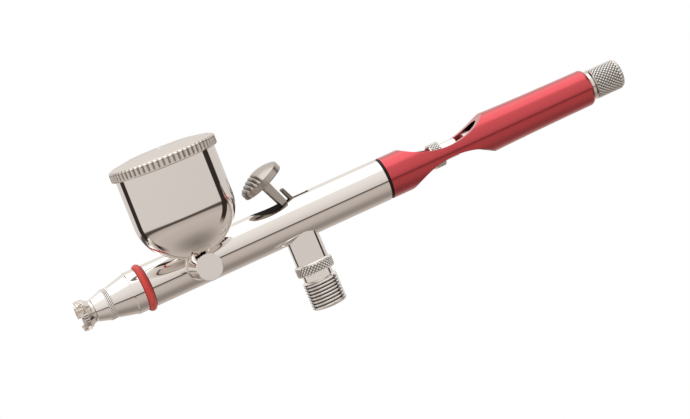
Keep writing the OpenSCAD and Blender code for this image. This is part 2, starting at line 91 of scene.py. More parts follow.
# Places: local z is the turning axis, and the matrix puts it in the frame
ALONG_X = Matrix(((0, 0, 1, 0), (1, 0, 0, 0), (0, 1, 0, AXIS_Z), (0, 0, 0, 1)))
VALVE = Matrix.Translation((0, 0, AXIS_Z))
CUP = Matrix.Translation((CUP_X, CUP_Y, AXIS_Z)) @ Matrix.Rotation(CUP_LEAN, 4, "Y")
FEED = Matrix(((1, 0, 0, CUP_X), (0, 0, -1, 0), (0, 1, 0, AXIS_Z), (0, 0, 0, 1)))


# ---------------------------------------------------------------- turned outlines

CORNER_STEP_DEG = 22  # turn of a rounded corner per face
RELIEF_FADE = 0.16  # a knurl or thread starts and ends over this length
# For each turned piece, the matrix from the frame to its own axis, and its outline
SHAPES = {}


def oriented(points):
    """The outline with its solid on the left, so that its outward normal is (dt, -dr)."""
    area = 0
    for k, p in enumerate(points):
        q = points[(k + 1) % len(points)]
        area += p[0] * q[1] - q[0] * p[1]
    return points if area > 0 else points[::-1]


def unit(v):
    return v / max(np.hypot(*v), 1e-12)


def eased(points, ease, smooth_deg=16):
    """Rounds the corners of a closed [radius, station] outline. Gives rows of radius, station and normal,
    and for each row the number of the edge that starts there, or -1 inside a rounded corner."""
    pts = [np.array(p[:2], float) for p in points]
    radii = [p[2] if len(p) > 2 else ease for p in points]
    count = len(pts)
    rows, edges = [], []
    for k in range(count):
        here, before, after = pts[k], pts[k - 1], pts[(k + 1) % count]
        u, v = unit(here - before), unit(after - here)
        nu, nv = np.array([u[1], -u[0]]), np.array([v[1], -v[0]])
        turn = math.atan2(u[0] * v[1] - u[1] * v[0], float(u @ v))
        on_axis = here[0] < 1e-6
        if on_axis:
            n = nv if after[0] > 1e-6 else nu
            rows.append([here[0], here[1], n[0], n[1]])
            edges.append(k)
            continue
        if abs(turn) < math.radians(smooth_deg):
            n = unit(nu + nv)
            rows.append([here[0], here[1], n[0], n[1]])
            edges.append(k)
            continue
        reach = min(
            radii[k] * math.tan(abs(turn) / 2),
            0.45 * np.hypot(*(here - before)),
            0.45 * np.hypot(*(after - here)),
        )
        radius = reach / math.tan(abs(turn) / 2)
        centre = here - u * reach - nu * radius * np.sign(turn)
        steps = max(2, int(abs(turn) / math.radians(CORNER_STEP_DEG)) + 1)
        for s in range(steps + 1):
            part = turn * s / steps
            c, sn = math.cos(part), math.sin(part)
            n = np.array([nu[0] * c - nu[1] * sn, nu[0] * sn + nu[1] * c])
            spot = centre + n * radius * np.sign(turn)
            rows.append([max(spot[0], 0.0), spot[1], n[0], n[1]])
            edges.append(k if s == steps else -1)
    return np.array(rows), edges


def grid_normals(grid):
    """Normals of a grid of points that closes in its second direction."""
    along = np.empty_like(grid)
    along[1:-1] = grid[2:] - grid[:-2]
    along[0] = grid[1] - grid[0]
    along[-1] = grid[-1] - grid[-2]
    around = np.roll(grid, -1, 1) - np.roll(grid, 1, 1)
    n = np.cross(around, along)
    return n / np.maximum(np.linalg.norm(n, axis=2, keepdims=True), 1e-12)


def turned_grid(points, ease, segments, relief):
    """Points, normals and groove depth of a turned surface. Relief is {edge: (height(angle, mm), step)}."""
    pts = oriented([list(p) for p in points])
    flipped = pts != [list(p) for p in points]
    rows, edges = eased(pts, ease)
    count = len(points)
    angle = np.arange(segments) * 2 * math.pi / segments
    c, s = np.cos(angle), np.sin(angle)
    bands = []

    def plain(row):
        r, t, nr, nt = row
        bands.append(
            (
                np.stack([r * c, r * s, np.full(segments, t)], 1)[None],
                np.stack([nr * c, nr * s, np.full(segments, nt)], 1)[None],
                np.zeros((1, segments)),
            )
        )

    for k in range(len(rows)):
        plain(rows[k])
        edge = edges[k]
        if edge < 0:
            continue
        own = (count - 2 - edge) % count if flipped else edge
        if own not in relief:
            continue
        height, step = relief[own]
        a, b = rows[k], rows[(k + 1) % len(rows)]
        length = float(np.hypot(b[0] - a[0], b[1] - a[1]))
        steps = max(3, int(length / step))
        share = np.arange(0, steps + 1) / steps
        share = share[1:-1]
        normal = unit(np.array([b[1] - a[1], a[0] - b[0]]))
        fade = np.clip(np.minimum(share, 1 - share) * length / RELIEF_FADE, 0, 1)[:, None]
        mm = (1 - share if flipped else share) * length
        lift = height(angle[None, :], mm[:, None]) * fade
        r = a[0] + (b[0] - a[0]) * share[:, None] + lift * normal[0]
        t = a[1] + (b[1] - a[1]) * share[:, None] + lift * normal[1]
        grid = np.stack([r * c, r * s, t], 2)
        deep = max(1e-6, -float(lift.min()))
        bands.append((grid, grid_normals(grid), np.clip(-lift / deep, 0, 1)))
    return [np.concatenate([band[k] for band in bands]) for k in range(3)], rows


def mesh_object(name, verts, faces, normals=None, groove=None, place=None):
    """A mesh in metres. Normals and groove depth are per vertex."""
    mesh = bpy.data.meshes.new(name)
    matrix = np.array(place if place is not None else Matrix.Identity(4))
    verts = np.asarray(verts) @ matrix[:3, :3].T + matrix[:3, 3]
    mesh.from_pydata((verts * MM).tolist(), [], faces)
    mesh.polygons.foreach_set("use_smooth", [True] * len(mesh.polygons))
    if groove is not None:
        layer = mesh.attributes.new("groove", "FLOAT", "POINT")
        layer.data.foreach_set("value", np.asarray(groove, np.float32))
    if normals is not None:
        normals = np.asarray(normals) @ matrix[:3, :3].T
        mesh.normals_split_custom_set_from_vertices(normals.tolist())
    obj = bpy.data.objects.new(name, mesh)
    bpy.context.scene.collection.objects.link(obj)
    return obj


def turn(name, points, place, ease=0.12, segments=160, relief=None):
    """A turned piece from a closed outline of (radius, station[, corner radius]) points."""
    (grid, normals, groove), rows = turned_grid(points, ease, segments, relief or {})
    count = len(grid)
    first = np.arange(count) * segments
    single = np.hypot(grid[:, 0, 0], grid[:, 0, 1]) < 1e-6
    verts, norms, deep, index = [], [], [], np.zeros((count, segments), int)
    for k in range(count):
        start = len(verts)
        if single[k]:
            verts.append([0, 0, grid[k, 0, 2]])
            norms.append([0, 0, 1.0 if normals[k, :, 2].mean() > 0 else -1.0])
            deep.append(0)
            index[k] = start
        else:
            verts.extend(grid[k])
            norms.extend(normals[k])
            deep.extend(groove[k])
            index[k] = start + np.arange(segments)
    faces = []
    for k in range(count):
        after = (k + 1) % count
        if single[k] and single[after]:
            continue
        a, b = index[k], index[after]
        a1, b1 = np.roll(a, -1), np.roll(b, -1)
        if single[k]:
            faces.extend(zip(a.tolist(), b1.tolist(), b.tolist()))
        elif single[after]:
            faces.extend(zip(a.tolist(), a1.tolist(), b.tolist()))
        else:
            faces.extend(zip(a.tolist(), a1.tolist(), b1.tolist(), b.tolist()))
    obj = mesh_object(name, verts, faces, norms, deep, place)
    obj.data.validate()
    SHAPES[obj.name] = (np.linalg.inv(np.array(place)), rows)
    return obj


# ---------------------------------------------------------------- carved pieces


def block(name, lo, hi):
    x0, y0, z0 = lo
    x1, y1, z1 = hi
    verts = [(x, y, z) for x in (x0, x1) for y in (y0, y1) for z in (z0, z1)]
    faces = [(0, 1, 3, 2), (4, 6, 7, 5), (0, 4, 5, 1), (2, 3, 7, 6), (0, 2, 6, 4), (1, 5, 7, 3)]
    return mesh_object(name, verts, faces)


def combine(base, steps):
    """Exact Booleans in order; the tools are removed."""
    for tool, how in steps:
        modifier = base.modifiers.new(how, "BOOLEAN")
        modifier.operation = how
        modifier.solver = "EXACT"
        modifier.object = tool
        bpy.context.view_layer.update()
        graph = bpy.context.evaluated_depsgraph_get()
        made = bpy.data.meshes.new_from_object(base.evaluated_get(graph))
        base.modifiers.clear()
        base.data = made
        bpy.data.objects.remove(tool)
    return base


def exact_normals(obj, shapes, tolerance=0.012):
    """Gives every face the normals of the turned surface it lies on; other faces stay flat."""
    mesh = obj.data
    loops, count = len(mesh.loops), len(mesh.polygons)
    co = np.empty(len(mesh.vertices) * 3)
    mesh.vertices.foreach_get("co", co)
    co = co.reshape(-1, 3) / MM
    vert = np.empty(loops, int)
    mesh.loops.foreach_get("vertex_index", vert)
    start = np.empty(count, int)
    mesh.polygons.foreach_get("loop_start", start)
    size = np.empty(count, int)
    mesh.polygons.foreach_get("loop_total", size)
    flat = np.empty(count * 3)
    mesh.polygons.foreach_get("normal", flat)
    flat = flat.reshape(-1, 3)
    face_of = np.repeat(np.arange(count), size)
    result = flat[face_of].copy()
    best = np.full(count, tolerance)
    points = co[vert]
    for inverse, rows in shapes:
        local = points @ inverse[:3, :3].T + inverse[:3, 3]
        flat_local = flat @ inverse[:3, :3].T
        r, t = np.hypot(local[:, 0], local[:, 1]), local[:, 2]
        cos = np.where(r > 1e-9, local[:, 0] / np.maximum(r, 1e-9), 0)
        sin = np.where(r > 1e-9, local[:, 1] / np.maximum(r, 1e-9), 0)
        for k in range(len(rows)):
            a, b = rows[k], rows[(k + 1) % len(rows)]
            d = b[:2] - a[:2]
            length2 = float(d @ d)
            if length2 < 1e-12 or (a[0] < 1e-6 and b[0] < 1e-6):
                continue
            share = np.clip(((r - a[0]) * d[0] + (t - a[1]) * d[1]) / length2, 0, 1)
            away = np.hypot(r - a[0] - share * d[0], t - a[1] - share * d[1])
            worst = np.maximum.reduceat(away, start)
            if not (worst < best).any():
                continue
            nr = a[2] + (b[2] - a[2]) * share
            nt = a[3] + (b[3] - a[3]) * share
            normal = np.stack([nr * cos, nr * sin, nt], 1)
            normal /= np.maximum(np.linalg.norm(normal, axis=1, keepdims=True), 1e-9)
            agree = (normal * flat_local[face_of]).sum(1)
            sums = np.add.reduceat(agree, start) / size
            take = (worst < best) & (np.abs(sums) > 0.93)
            if not take.any():
                continue
            best[take] = worst[take]
            chosen = take[face_of]
            sign = np.sign(sums)[face_of][:, None]
            result[chosen] = ((normal * sign) @ np.linalg.inv(inverse[:3, :3]).T)[chosen]
    mesh.polygons.foreach_set("use_smooth", [True] * count)
    mesh.normals_split_custom_set(result.tolist())
    mesh.update()
    return obj


# ---------------------------------------------------------------- knurls and threads


def wave(x):
    """0 in the grooves and 1 on the ridges of a saw with sloping sides."""
    return 1 - np.abs(2 * (x - np.floor(x)) - 1)


def straight_knurl(teeth, depth):
    def height(angle, mm):
        ridge = wave(teeth * angle / (2 * math.pi))
        return depth * (np.clip(ridge * 1.35, 0, 1) - 1) + 0 * mm

    return height


def slanted_knurl(teeth, pitch, depth):
    def height(angle, mm):
        ridge = wave(teeth * angle / (2 * math.pi) + mm / pitch)
        return depth * (np.clip(ridge * 1.5, 0, 1) - 1)

    return height


def diamond_knurl(teeth, pitch, depth):
    def height(angle, mm):
        across = teeth * angle / (2 * math.pi)
        first, second = wave(across + mm / pitch), wave(across - mm / pitch)
        return depth * (np.clip(np.minimum(first, second) * 1.8, 0, 1) - 1)

    return height


def helix(pitch, depth):
    def height(angle, mm):
        return -depth * np.clip(1.5 * (1 - wave(mm / pitch - angle / (2 * math.pi))) - 0.5, 0, 1)

    return height


# ---------------------------------------------------------------- materials


def srgb(text):
    parts = [int(text[k : k + 2], 16) / 255 for k in (1, 3, 5)]
    return [p / 12.92 if p <= 0.04045 else ((p + 0.055) / 1.055) ** 2.4 for p in parts] + [1.0]


class Nodes:
    """A short way to lay out shader nodes."""

    def __init__(self, tree):
        self.tree = tree
        tree.nodes.clear()

    def add(self, kind, inputs=None, **settings):
        node = self.tree.nodes.new(kind)
        for key, value in settings.items():
            setattr(node, key, value)
        for key, value in (inputs or {}).items():
            socket = node.inputs[key]
            if isinstance(value, bpy.types.NodeSocket):
                self.tree.links.new(value, socket)
            else:
                socket.default_value = value
        return node

    def math(self, operation, *values):
        inputs = {k: v for k, v in enumerate(values)}
        return self.add("ShaderNodeMath", inputs, operation=operation).outputs[0]

    def blend(self, factor, a, b):
        node = self.add("ShaderNodeMix", data_type="RGBA")
        for key, value in ((0, factor), (6, a), (7, b)):
            if isinstance(value, bpy.types.NodeSocket):
                self.tree.links.new(value, node.inputs[key])
            else:
                node.inputs[key].default_value = value
        return node.outputs[2]

    def ramp(self, factor, stops, interpolation="LINEAR"):
        node = self.add("ShaderNodeValToRGB", {0: factor})
        ramp = node.color_ramp
        ramp.interpolation = interpolation
        while len(ramp.elements) > 1:
            ramp.elements.remove(ramp.elements[-1])
        for k, (place, colour) in enumerate(stops):
            element = ramp.elements[0] if k == 0 else ramp.elements.new(place)
            element.position = place
            element.color = colour
        return node.outputs[0]


LARGE_SCALE, FINE_SCALE = 160.0, 2600.0  # noise scales of the uneven finish
ALONG_GRAIN, ACROSS_GRAIN = 30.0, 4200.0  # noise scales of turned or brushed lines


def darker(colour, share):
    return [share * c for c in srgb(colour)[:3]] + [1.0]


def material(name, colour, rough, metallic=1.0, wear=0.04, grain=None, dark=None, bump=0.0, coat=None,
             spec=0.5):
    """Procedural finish: roughness varies with noise; grain is (axis, strength) for turned or brushed lines;
    dark is a groove colour that paints shade into the grooves by their depth; bump adds a fine texture; coat
    is (weight, roughness, IOR)."""
    made = bpy.data.materials.new(name)
    made.use_nodes = True
    nodes = Nodes(made.node_tree)
    link = nodes.tree.links.new
    spot = nodes.add("ShaderNodeTexCoord").outputs["Object"]
    large_inputs = {"Vector": spot, "Scale": LARGE_SCALE, "Detail": 3.0}
    large = nodes.add("ShaderNodeTexNoise", large_inputs).outputs["Fac"]
    fine_inputs = {"Vector": spot, "Scale": FINE_SCALE, "Detail": 2.0}
    fine = nodes.add("ShaderNodeTexNoise", fine_inputs).outputs["Fac"]
    uneven = nodes.math("MULTIPLY", nodes.math("SUBTRACT", large, 0.5), 2 * wear)
    roughness = nodes.math("ADD", uneven, rough)
    base = nodes.blend(nodes.math("MULTIPLY", fine, 0.10), srgb(colour), darker(colour, 0.82))
    shader = nodes.add("ShaderNodeBsdfPrincipled", {"Metallic": metallic, "Specular IOR Level": spec})
    bumps = fine
    if grain:
        axis, strength = grain
        stretch = [ALONG_GRAIN] * 3
        stretch[axis] = ACROSS_GRAIN
        lines = nodes.add("ShaderNodeMapping", {"Vector": spot, "Scale": stretch}).outputs[0]
        streak_inputs = {"Vector": lines, "Scale": 1.0, "Detail": 3.0}
        streak = nodes.add("ShaderNodeTexNoise", streak_inputs).outputs["Fac"]
        unevenness = nodes.math("MULTIPLY", nodes.math("SUBTRACT", streak, 0.5), strength)
        roughness = nodes.math("ADD", roughness, unevenness)
        base = nodes.blend(nodes.math("MULTIPLY", streak, 0.5 * strength), base, darker(colour, 0.6))
        bumps = streak
    # Painted shade: the base colour darkens towards the groove colour with groove depth, standing in for
    # shade in the grooves
    if dark:
        depth = nodes.add("ShaderNodeAttribute", attribute_name="groove").outputs["Fac"]
        depth = nodes.math("POWER", depth, 1.3)
        base = nodes.blend(depth, base, srgb(dark))
        roughness = nodes.math("ADD", roughness, nodes.math("MULTIPLY", depth, 0.15))
    if bump:
        bump_inputs = {"Height": bumps, "Strength": bump, "Distance": 0.00002}
        link(nodes.add("ShaderNodeBump", bump_inputs).outputs[0], shader.inputs["Normal"])
    if coat:
        for key, value in zip(("Coat Weight", "Coat Roughness", "Coat IOR"), coat):
            shader.inputs[key].default_value = value
    link(base, shader.inputs["Base Color"])
    link(roughness, shader.inputs["Roughness"])
    link(shader.outputs[0], nodes.add("ShaderNodeOutputMaterial").inputs[0])
    return made


FINISH = {
    "polished_nickel": material("polished_nickel", "#F4F0EC", 0.035, wear=0.012),
    # The dark groove colours below paint shade into the grooves of knurls, threads and button ridges
    "turned_nickel": material("turned_nickel", "#EDE7E1", 0.13, grain=(0, 0.06), dark="#4A423D"),
    "knurled_nickel": material("knurled_nickel", "#FBF8F4", 0.06, dark="#0E0B09"),
    "lid_nickel": material("lid_nickel", "#E9E2DB", 0.16, dark="#7A7068"),
    # Dark matt colour that paints the shade inside the barrel's bores and mouth
    "painted_bore_shade": material("painted_bore_shade", "#3A332E", 0.5, metallic=0.0, grain=(0, 0.10), spec=0.35),
    "steel": material("steel", "#D6D1CC", 0.20, grain=(0, 0.10)),
    "satin_steel": material("satin_steel", "#C2BAB2", 0.26, grain=(2, 0.2), bump=0.2, dark="#4A423D"),
    "lever_steel": material("lever_steel", "#8D857E", 0.30, grain=(0, 0.20), bump=0.2),
    "needle_steel": material("needle_steel", "#D6D2CE", 0.12),
    "spring_steel": material("spring_steel", "#B9B5B0", 0.26),
    "brass": material("brass", "#C9A24A", 0.24, grain=(2, 0.10)),
    "red_anodised": material("red_anodised", "#CC162A", 0.21, grain=(1, 0.04), coat=(1.0, 0.22, 1.8)),
    "red_rubber": material("red_rubber", "#A8332E", 0.42, metallic=0.0, bump=0.15),
    "dark_rubber": material("dark_rubber", "#26241F", 0.55, metallic=0.0, bump=0.2),
    "black_ring": material("black_ring", "#0C0A08", 0.45, metallic=0.0, bump=0.1, spec=0.25),
    "white_seal": material("white_seal", "#E9E7E1", 0.38, metallic=0.0, bump=0.05),
}


def finish_piece(obj, body, finish, *nodes, slot=None):
    obj.data.materials.clear()
    obj.data.materials.append(FINISH[finish])
    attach(obj, body)
    if nodes:
        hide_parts(*nodes)
    return obj


# ---------------------------------------------------------------- barrel

BARREL_R = BARREL_HI[1]
BARREL_REAR = BARREL_HI[0]
SHOULDER = extent("colour_ring")[1][0] + 0.04
SPIGOT_FRONT = BARREL_LO[0]
SPIGOT_R = 4.4
BOSS_R = 4.57
BOSS_END = BARREL_LO[2] - AXIS_Z
MOUTH_FRONT, MOUTH_REAR = -11.1, 1.4
MOUTH_NEAR, MOUTH_FAR = 4.0, 2.2
SLOT_HALF, SLOT_START, SLOT_END = 1.65, -2.2, 6.2

body_tube = turn(
    "barrel_tube",
    [(0, SPIGOT_FRONT), (SPIGOT_R, SPIGOT_FRONT, 0.15), (SPIGOT_R, SHOULDER, 0.02), (BARREL_R, SHOULDER, 0.2),
     (BARREL_R, BARREL_REAR, 0.08), (0, BARREL_REAR)],
    ALONG_X, segments=256,
)
boss_outline = [(0, 0), (0, BOSS_END), (BOSS_R, BOSS_END, 0.1), (BOSS_R, 0, 0.01)]
boss = turn("boss_tool", boss_outline, VALVE, segments=192)
# Bores along the barrel, front to rear: (radius, station where it starts)
BORES = [(2.4, SPIGOT_FRONT - 0.1), (1.6, -41.5), (2.3, -18.5), (3.4, -11), (4.65, 14)]
BORES_END = BARREL_REAR + 0.1
bore_outline = [(0, BORES[0][1])]
for (radius, start), end in zip(BORES, [start for _, start in BORES[1:]] + [BORES_END]):
    bore_outline += [(radius, start), (radius, end)]
bore_outline.append((0, BORES_END))
bore = turn("bore_tool", bore_outline, ALONG_X, ease=0.01, segments=128)
boss_bore = turn(
    "boss_bore_tool",
    [(0, BOSS_END - 0.1), (3.6, BOSS_END - 0.1), (3.6, -3.9), (2.4, -3.9), (2.4, 0), (0, 0)],
    VALVE, ease=0.01, segments=96,
)
feed_bore = turn("feed_bore_tool", [(0, 0), (2.25, 0), (2.25, 7), (0, 7)], FEED, ease=0.01, segments=64)
half_len = (MOUTH_REAR - MOUTH_FRONT) / 2
mouth_x = (MOUTH_REAR + MOUTH_FRONT) / 2
sides = []
for side, bulge in ((1, MOUTH_NEAR), (-1, MOUTH_FAR)):
    arc_r = (half_len**2 + bulge**2) / (2 * bulge)
    place = Matrix.Translation((mouth_x, side * (arc_r - bulge), AXIS_Z))
    sides.append(
        turn(f"mouth_{side}_tool", [(0, 0.2), (arc_r, 0.2), (arc_r, BARREL_R + 1), (0, BARREL_R + 1)], place,
             ease=0.01, segments=224)
    )
mouth = combine(sides[0], [(sides[1], "INTERSECT")])
slot = block("slot_tool", (SLOT_START, -SLOT_HALF, AXIS_Z), (SLOT_END, SLOT_HALF, AXIS_Z + BARREL_R + 1))
shapes = [SHAPES[k] for k in ("barrel_tube", "boss_tool", "bore_tool", "boss_bore_tool", "feed_bore_tool",
                              "mouth_1_tool", "mouth_-1_tool")]
body_tube = combine(
    body_tube,
    [(boss, "UNION"), (bore, "DIFFERENCE"), (boss_bore, "DIFFERENCE"), (feed_bore, "DIFFERENCE"),
     (mouth, "DIFFERENCE"), (slot, "DIFFERENCE")],
)
exact_normals(body_tube, shapes)
finish_piece(body_tube, "gun_body", "polished_nickel", "barrel")
# The inner faces of the bores and the mouth take the second finish, a painted shade inside the barrel
body_tube.data.materials.append(FINISH["painted_bore_shade"])
corners = [v.co / MM for v in body_tube.data.vertices]
for face in body_tube.data.polygons:
    spot = face.center / MM
    off_axis = min(math.hypot(corners[k].y, corners[k].z - AXIS_Z) for k in face.vertices)
    in_boss = math.hypot(spot.x, spot.y) < BOSS_R - 0.2
    if (off_axis < BARREL_R - 0.05 and spot.x > SHOULDER + 1) or (in_boss and spot.z < AXIS_Z - 4):
        outside_boss = math.hypot(spot.x, spot.y) > BOSS_R - 0.2 and spot.z < AXIS_Z - 2
        face.material_index = 0 if outside_boss else 1

socket_r = extent("feed_socket")[1][0] - CUP_X
socket = turn(
    "feed_socket_collar",
    [(2.3, 3.2), (2.3, 6.6), (socket_r, 6.6, 0.15), (socket_r, 5.6), (socket_r + 0.05, 3.2)],
    FEED, segments=160,
)
finish_piece(socket, "gun_body", "polished_nickel", "feed_socket")

# ---------------------------------------------------------------- head

head = turn(
    "head_cone",
    [(3.2, HEAD_LO[0], 0.05), (4.25, HEAD_LO[0], 0.1), (5.62, -48.55, 0.25), (5.83, -48.35, 0.12),
     (5.83, HEAD_HI[0], 0.18), (4.46, HEAD_HI[0], 0.05), (4.46, -48.5), (3.6, -48.5), (3.6, -52), (3.2, -52)],
    ALONG_X, segments=224,
)
finish_piece(head, "gun_body", "polished_nickel", "head_ring")

cap = turn(
    "air_cap_cone",
    [(0.85, CAP_LO[0]), (2.3, CAP_LO[0], 0.15), (2.3, -59.0), (3.13, -59.0, 0.12), (4.2, -55.72, 0.03),
     (4.35, -55.7, 0.08), (4.35, HEAD_LO[0], 0.08), (3.15, HEAD_LO[0]), (3.15, -52.2), (2.4, -52.2),
     (2.4, -56.5), (0.85, -58.4)],
    ALONG_X, segments=360, relief={5: (slanted_knurl(44, 0.9, 0.2), 0.05)},
)
finish_piece(cap, "gun_body", "knurled_nickel", "air_cap", slot="polished_nickel")

crown_rear = CROWN_HI[0]
crown_front = CROWN_LO[0]
crown = turn(
    "crown",
    [(2.35, crown_rear), (3.05, crown_rear, 0.08), (3.05, -59.9, 0.3), (4.0, -61.2, 0.12),
     (4.18, crown_front + 1.9, 0.08), (4.18, crown_front + 0.6, 0.08), (4.05, crown_front + 0.48, 0.05),
     (4.12, crown_front, 0.2), (3.4, crown_front, 0.15), (3.2, -60.9, 0.3), (2.35, -60.9)],
    ALONG_X, segments=288, relief={4: (straight_knurl(36, 0.12), 0.08)},
)
NOTCH_W, NOTCH_DEPTH, NOTCH_REACH = 2.4, 2.2, 6
notch_r = NOTCH_W / 2
notch_centre = crown_front + NOTCH_DEPTH - notch_r
cuts = []
for k in range(4):
    spin = ALONG_X @ Matrix.Rotation(math.radians(60 + 90 * k), 4, "Z")
    place = spin @ Matrix.Translation((0, 0, notch_centre)) @ Matrix.Rotation(math.pi / 2, 4, "Y")
    round_end = [(0, 0), (notch_r, 0), (notch_r, NOTCH_REACH), (0, NOTCH_REACH)]
    cuts.append(turn(f"notch_{k}_tool", round_end, place, ease=0.01, segments=64))
    tool = block(f"notch_{k}_slab", (0, -notch_r, crown_front - 1), (NOTCH_REACH, notch_r, notch_centre))
    tool.data.transform(Matrix.Scale(MM, 4) @ spin @ Matrix.Scale(1 / MM, 4))
    cuts.append(tool)
shapes = [SHAPES["crown"]] + [SHAPES[f"notch_{k}_tool"] for k in range(4)]
crown = combine(crown, [(tool, "DIFFERENCE") for tool in cuts])
exact_normals(crown, shapes)
finish_piece(crown, "gun_body", "turned_nickel", "crown_cap", slot="polished_nickel")

ring_lo, ring_hi = extent("colour_ring")
tube = (ring_hi[0] - ring_lo[0]) / 2
ring_x = (ring_hi[0] + ring_lo[0]) / 2
ring_mid = ring_hi[1] - tube
ring_angles = [k * math.pi / 16 for k in range(32)]
ring = turn(
    "colour_o_ring",
    [(ring_mid + tube * math.cos(angle), ring_x + tube * math.sin(angle)) for angle in ring_angles],
    ALONG_X, segments=160,
)
finish_piece(ring, "gun_body", "red_rubber", "colour_ring")

# ---------------------------------------------------------------- valve

FOOT = -AXIS_Z
casing = turn(
    "valve_body",
    [(2.9, FOOT, 0.15), (4.3, FOOT, 0.05), (4.864, FOOT + 0.5, 0.03), (4.864, FOOT + 7.55, 0.03),
     (4.4, FOOT + 7.95, 0.1), (4.13, FOOT + 8.0, 0.15), (4.13, FOOT + 9.7, 0.1), (4.95, FOOT + 9.7, 0.1),
     (5.27, FOOT + 9.95, 0.08), (5.27, FOOT + 12.3, 0.08), (4.95, FOOT + 12.55, 0.1), (3.55, FOOT + 12.55),
     (3.55, -9.0), (3.0, -9.0), (3.0, -4.3), (3.55, -4.3), (3.55, -3.9), (2.35, -3.9), (2.35, -5.7),
     (2.2, -5.7), (2.2, -8.3), (1.9, -8.3), (1.9, -10.2), (1.4, -10.2), (1.4, -11.6), (2.9, -11.6)],
    VALVE, segments=384,
    relief={2: (helix(0.907, 0.46), 0.07), 8: (diamond_knurl(32, 1.0, 0.24), 0.06)},
)
finish_piece(casing, "gun_body", "knurled_nickel", "valve_casing", slot="turned_nickel")

# ---------------------------------------------------------------- trigger

LEAN = math.radians(22.4)
lean_run = math.tan(LEAN)


def stem_x(z):
    return -1.37 + (5.68 - z) * lean_run


BUTTON_Z = 12.16
BUTTON = (
    Matrix.Translation((stem_x(BUTTON_Z), 0, AXIS_Z + BUTTON_Z)) @ Matrix.Rotation(-LEAN, 4, "Y")
)
BUTTON_R = (BUTTON_HI[1] - BUTTON_LO[1]) / 2
RIM_H, DOME_H = 2.1, 1.9
RIDGE_DROP, RIDGE_PITCH = 0.42, 1.16
dome_r = (BUTTON_R**2 + DOME_H**2) / (2 * DOME_H)


def dome_z(r):
    return RIM_H + DOME_H - dome_r + math.sqrt(dome_r**2 - r**2)


def button_piece():
    """Finger button: plain rim, and a dome whose front half carries rounded ridges across the gun."""
    segments = 288
    angle = np.arange(segments) * 2 * math.pi / segments
    c, s = np.cos(angle), np.sin(angle)
    rows = []
    edge = BUTTON_R
    for r, z in ((0.0, 0.0), (edge - 0.35, 0.0), (edge - 0.12, 0.06), (edge - 0.03, 0.18), (edge, 0.34)):
        rows.append((np.full(segments, r), np.full(segments, z), 0 * c))
    steps = 14
    for k in range(1, steps):
        z = 0.34 + (RIM_H - 0.12 - 0.34) * k / steps
        rows.append((np.full(segments, edge), np.full(segments, z), 0 * c))
    dome_rows = 110
    for k in range(dome_rows + 1):
        r = edge * (1 - k / dome_rows)
        base = dome_z(min(r, edge - 1e-6))
        x = r * c
        front = np.clip((-0.15 - x) / 0.7, 0, 1) * np.clip((edge - r) / 0.05 + 0.6, 0, 1)
        phase = (x + 6.3) / RIDGE_PITCH
        ridge = 1 - np.abs(np.cos(math.pi * phase))
        ridge = ridge**0.8
        drop = RIDGE_DROP * front * ridge
        soft = 0.16 * math.exp(-(((edge - r) / 0.22) ** 2))
        rows.append((np.full(segments, r), base - drop - soft, drop / RIDGE_DROP))
    grid = np.stack([np.stack([r * c, r * s, z], 1) for r, z, _ in rows])
    depth = np.stack([d for _, _, d in rows])
    count = len(rows)
    verts, faces = grid.reshape(-1, 3), []
    index = np.arange(count * segments).reshape(count, segments)
    for k in range(count - 1):
        a, b = index[k], index[k + 1]
        faces.extend(zip(a.tolist(), np.roll(a, -1).tolist(), np.roll(b, -1).tolist(), b.tolist()))
    normals = grid_normals(grid)
    normals[0] = (0, 0, -1)
    normals[1] = (0, 0, -1)
    normals[-1] = (0, 0, 1)
    made = mesh_object("finger_button", verts, faces, normals.reshape(-1, 3), depth.reshape(-1), BUTTON)
    return made


button = button_piece()
finish_piece(button, "trigger", "satin_steel", "trigger_button")


def plate(name, outline, width, bevel):
    """A plate across the gun from an outline of (station, height from the axis), with rounded edges."""
    count = len(outline)
    verts = [(x, y, AXIS_Z + z) for y in (-width / 2, width / 2) for x, z in outline]
    area = sum(
        outline[k][0] * outline[(k + 1) % count][1] - outline[(k + 1) % count][0] * outline[k][1]
        for k in range(count)
    )
    order = list(range(count)) if area > 0 else list(range(count))[::-1]
    faces = [order, [count + k for k in order[::-1]]]
    for k in range(count):
        a, b = order[k], order[(k + 1) % count]
        faces.append([b, a, count + a, count + b])
    obj = mesh_object(name, verts, faces)
    obj.data.polygons.foreach_set("use_smooth", [False] * len(obj.data.polygons))
    modifier = obj.modifiers.new("edges", "BEVEL")
    modifier.width = bevel * MM
    modifier.segments = 3
    modifier.limit_method = "ANGLE"
    modifier.angle_limit = math.radians(25)
    modifier.harden_normals = True
    return obj


def circle(cx, cz, r, start, end, steps):
    return [
        (cx + r * math.cos(math.radians(start + (end - start) * k / steps)),
         cz + r * math.sin(math.radians(start + (end - start) * k / steps)))
        for k in range(steps + 1)
    ]


half_run = 2.25 / (2 * math.cos(LEAN))
stem_top = BUTTON_Z + 0.25
FOOT_Z, FOOT_R = -2.3, 1.2
foot_outline = circle(0, FOOT_Z, FOOT_R, 156, 384, 18)
post_outline = [
    (stem_x(1.8) + 1.15, 1.6),
    (stem_x(stem_top) + half_run, stem_top),
    (stem_x(stem_top) - half_run, stem_top - 0.5),
    (stem_x(1.8) - 1.15, 2.0),
]
stem = plate("trigger_post", foot_outline + post_outline, 2.8, 0.3)
finish_piece(stem, "trigger", "satin_steel", "trigger_stem")

